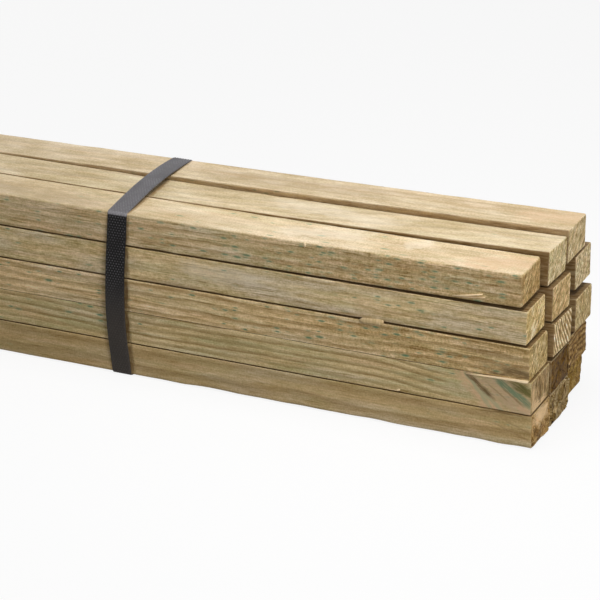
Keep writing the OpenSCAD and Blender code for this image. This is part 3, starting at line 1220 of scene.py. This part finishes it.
def even_stray(lie, shares):
    """How far a strap strays along the studs at each place of its route, evened out."""
    sides, distances = np.array(lie.stray).T
    shift = np.interp(shares, sides, distances * MM)
    half = STRAY_SPAN // 2
    around = np.concatenate([shift[-half:], shift, shift[:half]])
    return np.convolve(around, np.ones(STRAY_SPAN) / STRAY_SPAN, "valid")


def band_shell(parcel, places, normals, shift, low, high, look, thickness, closed):
    """A flat strip along a route: smooth inside, with marked points for the diamonds outside."""
    cells = 2 * int((high - low) / look.pitch)
    lines = np.linspace(low, high, cells + 1)
    drop = np.zeros(cells + 1)
    drop[[0, -1]] = RIM_DROP * thickness
    count = len(places)
    outer = np.zeros((count, cells + 1, 3))
    outer[..., 0] = lines[None, :] + shift[:, None]
    outer[..., 1:] = places[:, None, :] - normals[:, None, :] * drop[None, :, None]
    inner = np.zeros((count, 2, 3))
    inner[..., 0] = lines[None, [0, -1]] + shift[:, None]
    inner[..., 1:] = (places - normals * thickness)[:, None, :]
    outer_index = np.arange(count * (cells + 1)).reshape(count, cells + 1)
    inner_index = outer_index.size + np.arange(count * 2).reshape(count, 2)
    here = slice(None) if closed else slice(0, -1)
    face, next_face = outer_index[here], np.roll(outer_index, -1, 0)[here]
    back, next_back = inner_index[here], np.roll(inner_index, -1, 0)[here]
    quads = [
        np.stack([face[:, :-1], face[:, 1:], next_face[:, 1:], next_face[:, :-1]], -1).reshape(-1, 4),
        np.stack([back[:, 0], next_back[:, 0], next_back[:, 1], back[:, 1]], -1),
        np.stack([face[:, 0], next_face[:, 0], next_back[:, 0], back[:, 0]], -1),
        np.stack([face[:, -1], back[:, 1], next_back[:, 1], next_face[:, -1]], -1),
    ]
    faces = np.concatenate(quads).tolist()
    if not closed:
        faces.append([*outer_index[0][::-1].tolist(), *inner_index[0].tolist()])
        faces.append([*outer_index[-1].tolist(), *inner_index[-1][::-1].tolist()])
    margin = look.border - BORDER_SLACK * MM
    inside = (lines > low + margin) & (lines < high - margin)
    ring = np.arange(count)[:, None]
    stagger = (ring % 2 == 0) & ((ring // 2 + np.arange(cells + 1)[None, :]) % 2 == 0)
    boss = np.concatenate([(stagger & inside[None, :]).ravel(), np.zeros(count * 2, bool)])
    out = np.zeros((count, 3))
    out[:, 1:] = normals
    outward = np.concatenate([np.repeat(out, cells + 1, 0), np.repeat(out, 2, 0)])
    points = np.concatenate([outer.reshape(-1, 3), inner.reshape(-1, 3)])
    parcel.add(points, faces, boss=boss.astype(float), outward=outward)


def emboss_tree():
    """Geometry Nodes: a small raised diamond on each marked point of the strap."""
    tree = bpy.data.node_groups.new("strap_emboss", "GeometryNodeTree")
    inputs = {
        "Geometry": "NodeSocketGeometry",
        "Diamond": "NodeSocketFloat",
        "Height": "NodeSocketFloat",
        "Finish": "NodeSocketMaterial",
    }
    for name, kind in inputs.items():
        tree.interface.new_socket(name, in_out="INPUT", socket_type=kind)
    tree.interface.new_socket("Geometry", in_out="OUTPUT", socket_type="NodeSocketGeometry")

    def add(kind, sockets=None, **settings):
        """Adds a node: its settings, then the values or links of its sockets."""
        node = tree.nodes.new(kind)
        for name, value in settings.items():
            setattr(node, name, value)
        for key, value in (sockets or {}).items():
            if isinstance(value, bpy.types.NodeSocket):
                tree.links.new(value, node.inputs[key])
            else:
                node.inputs[key].default_value = value
        return node

    given = add("NodeGroupInput").outputs
    marked = add("GeometryNodeInputNamedAttribute", {"Name": "boss"}, data_type="FLOAT")
    chosen = add("FunctionNodeCompare", {0: marked.outputs[0], 1: 0.5}, operation="GREATER_THAN")
    spots = add("GeometryNodeMeshToPoints", {"Mesh": given["Geometry"], "Selection": chosen.outputs[0]})
    outward = add("GeometryNodeInputNamedAttribute", {"Name": "outward"}, data_type="FLOAT_VECTOR")
    upright = add("FunctionNodeAlignRotationToVector", {"Vector": outward.outputs[0]}, axis="Z")
    squared = add(
        "FunctionNodeAlignRotationToVector",
        {"Rotation": upright.outputs[0], "Vector": (1.0, 0.0, 0.0)},
        axis="X", pivot_axis="Z",
    )
    diamond = add(
        "GeometryNodeMeshCone",
        {
            "Vertices": 4,
            "Radius Top": DIAMOND_TIP * MM,
            "Radius Bottom": given["Diamond"],
            "Depth": given["Height"],
        },
    )
    crested = add(
        "GeometryNodeStoreNamedAttribute",
        {"Geometry": diamond.outputs[0], "Name": "crest", "Value": 1.0},
        data_type="FLOAT", domain="POINT",
    )
    spread = add(
        "GeometryNodeInstanceOnPoints",
        {"Points": spots.outputs[0], "Instance": crested.outputs[0], "Rotation": squared.outputs[0]},
    )
    solid = add("GeometryNodeRealizeInstances", {"Geometry": spread.outputs[0]})
    joined = add("GeometryNodeJoinGeometry")
    tree.links.new(solid.outputs[0], joined.inputs[0])
    tree.links.new(given["Geometry"], joined.inputs[0])
    dressed = add("GeometryNodeSetMaterial", {"Geometry": joined.outputs[0], "Material": given["Finish"]})
    end = add("NodeGroupOutput")
    tree.links.new(dressed.outputs[0], end.inputs[0])
    return tree


def embossed(raw, tree, look, finish, name):
    """The bare band with its diamonds made real, as an object of its own."""
    inputs = {item.name: item.identifier for item in tree.interface.items_tree if item.in_out == "INPUT"}
    modifier = raw.modifiers.new("emboss", "NODES")
    modifier.node_group = tree
    modifier[inputs["Diamond"]] = look.diamond * look.pitch
    modifier[inputs["Height"]] = look.height
    modifier[inputs["Finish"]] = finish
    shaped = raw.evaluated_get(bpy.context.evaluated_depsgraph_get())
    mesh = bpy.data.meshes.new_from_object(shaped)
    raw.modifiers.remove(modifier)
    piece = bpy.data.objects.new(name, mesh)
    bpy.context.scene.collection.objects.link(piece)
    bpy.data.objects.remove(raw)
    return piece


class TIMBER_OT_straps(bpy.types.Operator):
    """Wind an embossed strap round the bundle at each CAD strap"""

    bl_idname = "timber.straps"
    bl_label = "Straps"

    def execute(self, context):
        look = context.scene.strap_look
        finish = strap_finish(look)
        tree = emboss_tree()
        for node in STRAPS:
            lie = LIES[node]
            low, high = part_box(node)
            thickness = high.y + low.y
            places, normals, shares = strap_route(lie, -2 * low.y, high.z, look.bend, look.pitch / 2)
            shift = even_stray(lie, shares)
            parcel = Parcel()
            middle = (low.x + high.x) / 2
            sides = (middle - look.width / 2, middle + look.width / 2, look, thickness)
            band_shell(parcel, places, normals, shift, *sides, True)
            reach = LAP_LENGTH / 2 * MM / (high.z - 2 * look.bend)
            rear = np.abs(shares - LAP_MIDDLE) < reach
            lap = places[rear] + normals[rear] * thickness
            band_shell(parcel, lap, normals[rear], shift[rear], *sides, False)
            piece = embossed(parcel.build(f"{node}_band"), tree, look, finish, f"embossed_{node}")
            settle(piece, node)
        return {"FINISHED"}


# Lamps of the stage: place, aim and size, in metres
LAMPS = {
    "key": ((0.86, -0.12, 0.84), (0.86, 0.0, 0.14), (0.5, 0.5)),
    "far": ((-0.7, 0.1, 1.4), (-0.6, 0.0, 0.14), (1.4, 0.8)),
    "side": ((2.2, -1.0, 0.4), (0.8, 0.0, 0.08), (0.8, 0.6)),
    "back": ((-1.9, 1.3, 0.45), (-0.4, 0.05, 0.07), (0.8, 0.6)),
}
# Width of the camera's sensor in millimetres, and how far it sees in metres
SENSOR_WIDTH, FARTHEST = 36.0, 100.0


def soft_lamp(name, place, target, size, power):
    """A rectangle of light that the camera doesn't see."""
    lamp = bpy.data.lights.new(name, "AREA")
    lamp.shape = "RECTANGLE"
    lamp.size, lamp.size_y = size
    lamp.energy = power
    holder = bpy.data.objects.new(name, lamp)
    holder.location = place
    holder.rotation_euler = (Vector(target) - Vector(place)).to_track_quat("-Z", "Y").to_euler()
    holder.visible_camera = False
    bpy.context.scene.collection.objects.link(holder)


def lay_floor(scene, look):
    """The pale floor at level 0."""
    half = look.floor_size / 2
    corners = [(-half, -half, 0), (half, -half, 0), (half, half, 0), (-half, half, 0)]
    mesh = bpy.data.meshes.new("floor")
    mesh.from_pydata(corners, [], [(0, 1, 2, 3)])
    floor = bpy.data.objects.new("floor", mesh)
    floor.data.materials.append(floor_finish(look))
    scene.collection.objects.link(floor)


def light_world(scene, look):
    """A world that is white to the camera and in mirrors, and dimmer as a light."""
    world = bpy.data.worlds.new("studio")
    world.use_nodes = True
    tree = world.node_tree
    background = tree.nodes["Background"]
    rays = Field(tree).make("ShaderNodeLightPath")
    shown = rays.math("MAXIMUM", rays.output("Is Camera Ray"), rays.output("Is Glossy Ray"))
    shown = rays.math("MAXIMUM", shown, rays.output("Is Transmission Ray"))
    strength = shown * (1 - look.sky) + look.sky
    tree.links.new(strength.socket, background.inputs["Strength"])
    background.inputs["Color"].default_value = rgba(PAPER_WHITE)
    scene.world = world


def place_camera(scene, look):
    """The camera of the photo: turned and lifted round its aim."""
    lens = bpy.data.cameras.new("camera")
    lens.lens = look.lens
    lens.sensor_width = SENSOR_WIDTH
    lens.clip_end = FARTHEST
    camera = bpy.data.objects.new("camera", lens)
    turn = Matrix.Rotation(look.azimuth, 4, "Z") @ Matrix.Rotation(math.pi / 2 - look.elevation, 4, "X")
    turn = turn @ Matrix.Rotation(-look.roll, 4, "Z")
    back_off = turn @ Vector((0.0, 0.0, look.distance))
    camera.matrix_world = Matrix.Translation(Vector(look.aim) + back_off) @ turn
    scene.collection.objects.link(camera)
    scene.camera = camera


class TIMBER_OT_stage(bpy.types.Operator):
    """Set up the pale floor, the soft lamps and the camera"""

    bl_idname = "timber.stage"
    bl_label = "Stage"

    def execute(self, context):
        scene = context.scene
        look = scene.stage_look
        lay_floor(scene, look)
        light_world(scene, look)
        for name, (place, target, size) in LAMPS.items():
            soft_lamp(f"{name}_lamp", place, target, size, getattr(look, f"{name}_power"))
        place_camera(scene, look)
        scene.view_settings.view_transform = "Standard"
        return {"FINISHED"}


class TIMBER_PT_bundle(bpy.types.Panel):
    """Lists the bundle's operators"""

    bl_idname = "TIMBER_PT_bundle"
    bl_label = "Bundle of pine studs"
    bl_space_type = "VIEW_3D"
    bl_region_type = "UI"
    bl_category = "Timber"

    def draw(self, context):
        for operator in (TIMBER_OT_stage, TIMBER_OT_studs, TIMBER_OT_straps):
            self.layout.operator(operator.bl_idname)


CLASSES = (
    TimberLook, StrapLook, StageLook, TIMBER_OT_studs, TIMBER_OT_straps, TIMBER_OT_stage, TIMBER_PT_bundle,
)


def register():
    for cls in CLASSES:
        bpy.utils.register_class(cls)
    bpy.types.Scene.timber_look = bpy.props.PointerProperty(type=TimberLook)
    bpy.types.Scene.strap_look = bpy.props.PointerProperty(type=StrapLook)
    bpy.types.Scene.stage_look = bpy.props.PointerProperty(type=StageLook)


def unregister():
    del bpy.types.Scene.stage_look
    del bpy.types.Scene.strap_look
    del bpy.types.Scene.timber_look
    for cls in reversed(CLASSES):
        bpy.utils.unregister_class(cls)


def main():
    register()
    bpy.ops.timber.stage()
    bpy.ops.timber.studs()
    bpy.ops.timber.straps()


if __name__ == "__main__":
    main()
